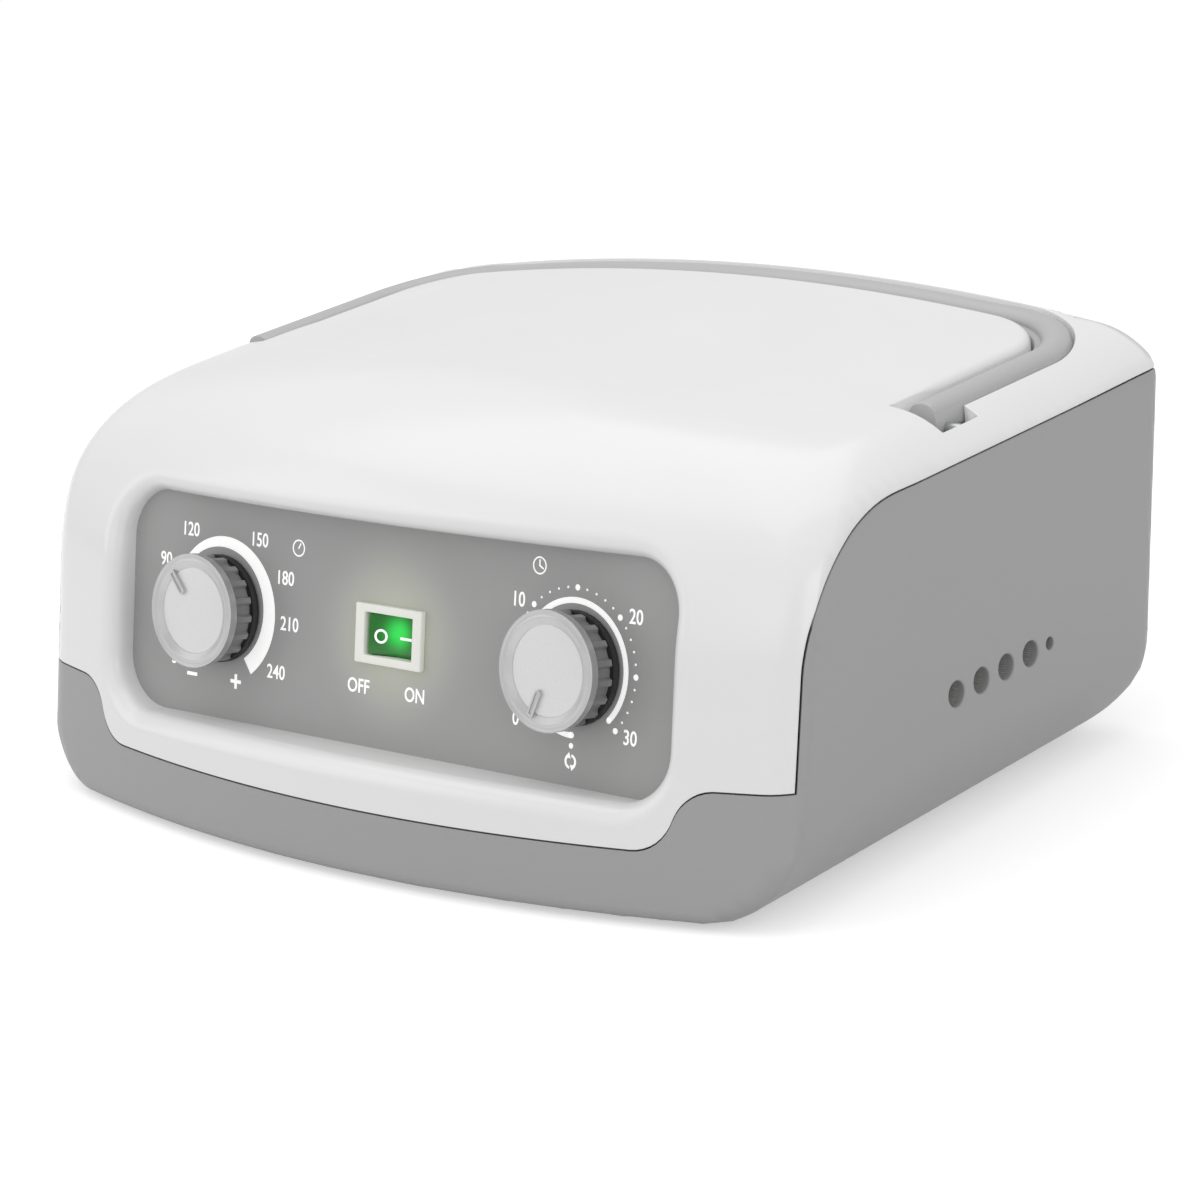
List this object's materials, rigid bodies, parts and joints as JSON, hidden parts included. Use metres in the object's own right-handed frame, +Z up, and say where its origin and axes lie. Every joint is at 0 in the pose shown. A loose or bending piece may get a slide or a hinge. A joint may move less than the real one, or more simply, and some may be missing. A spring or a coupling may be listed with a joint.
{
  "type": "compression therapy pump",
  "caption": "Table-top air pump with a bowed white front, grey lower casing, two dial knobs, lit rocker switch, folding handle and a row of hose outlets.",
  "frame": {"origin": "on the table under the middle of the casing", "axes": "+X to the right seen from the front, +Y to the back, +Z up"},
  "size_m": [0.28, 0.205, 0.122],
  "materials": {
    "white_casing": "gloss",
    "grey_casing": "satin",
    "panel_plastic": "satin",
    "knob_plastic": "satin",
    "knob_metal": "sand-blasted",
    "handle_plastic": "satin",
    "switch_frame": "gloss",
    "rocker_lens": "gloss",
    "lamp": "clear",
    "steel": "zinc plated",
    "brass": "plain",
    "dark_plastic": "matt",
    "light_plastic": "matt",
    "cast_aluminium": "cast",
    "iron": "laminated",
    "copper": "enamelled wire",
    "black_rubber": "matt",
    "hose_rubber": "matt",
    "board_green": "solder mask",
    "filter_felt": "felt"
  },
  "bodies": {
    "base": {"upper_casing": "white_casing", "lower_casing": "grey_casing", "control_panel": "panel_plastic", "panel_screws": "steel", "pressure_valve_body": "brass", "pressure_bush_nut": "steel", "timer_body": "dark_plastic", "timer_bush_nut": "steel", "switch_body": "switch_frame", "switch_lamp": "lamp", "switch_terminals": "brass", "handle_pins": "steel", "outlet_manifold": "light_plastic", "outlet_seals": "black_rubber", "outlet_hoses": "hose_rubber", "distributor_body": "light_plastic", "distributor_end_cap": "light_plastic", "distributor_motor": "cast_aluminium", "motor_bracket": "steel", "pump_body": "cast_aluminium", "pump_coil": "copper", "pump_diaphragms": "black_rubber", "pump_chambers": "light_plastic", "pump_chamber_screws": "steel", "pump_mounts": "black_rubber", "supply_hose": "hose_rubber", "regulator_hose": "hose_rubber", "circuit_board": "board_green", "board_transformer": "dark_plastic", "board_capacitors": "cast_aluminium", "board_connectors": "light_plastic", "board_screws": "steel", "power_inlet": "dark_plastic", "inlet_pins": "brass", "fuse_holder": "dark_plastic", "fuse_cap": "dark_plastic", "air_filter": "filter_felt", "rubber_feet": "black_rubber", "casing_screws": "steel"},
    "pressure_dial": {"pressure_knob": "knob_plastic", "pressure_knob_cap": "knob_metal", "pressure_valve_shaft": "steel"},
    "needle": {"pressure_needle": "steel"},
    "timer_dial": {"timer_knob": "knob_plastic", "timer_knob_cap": "knob_metal", "timer_shaft": "steel"},
    "rocker": {"switch_rocker": "rocker_lens"},
    "handle": {"carry_handle": "handle_plastic"},
    "rotor": {"distributor_rotor": "light_plastic"},
    "armature": {"pump_armature": "iron"}
  },
  "joints": [
    {"name": "pressure_turn", "type": "hinge", "parent": "base", "child": "pressure_dial", "pos_m": [-0.0667, -0.0687, 0.0591], "axis": [0, -0.9711, 0.2385], "range_deg": [-175.5, 94.5]},
    {"name": "needle_lift", "type": "slide", "parent": "base", "child": "needle", "axis": [0, -0.9711, 0.2385], "range_m": [-0.0005, 0.0003]},
    {"name": "timer_turn", "type": "hinge", "parent": "base", "child": "timer_dial", "pos_m": [0.0667, -0.0687, 0.0591], "axis": [0, -0.9711, 0.2385], "range_deg": [-293, 22]},
    {"name": "rocker_tip", "type": "hinge", "parent": "base", "child": "rocker", "pos_m": [0, -0.06579, 0.05838], "axis": [0, -0.2385, -0.9711], "range_deg": [0, 18]},
    {"name": "handle_swing", "type": "hinge", "parent": "base", "child": "handle", "pos_m": [0, 0.018, 0.1055], "axis": [1, 0, 0], "range_deg": [0, 95]},
    {"name": "rotor_spin", "type": "hinge", "parent": "base", "child": "rotor", "pos_m": [0.084, 0.0136, 0.0398], "axis": [0, 1, 0], "continuous": true},
    {"name": "armature_swing", "type": "slide", "parent": "base", "child": "armature", "axis": [1, 0, 0], "range_m": [-0.0015, 0.0015], "stiffness_N_per_m": 2000}
  ],
  "couplings": [
    {"joint": "needle_lift", "follows": "pressure_turn", "m_per_rad": 0.00015915}
  ]
}
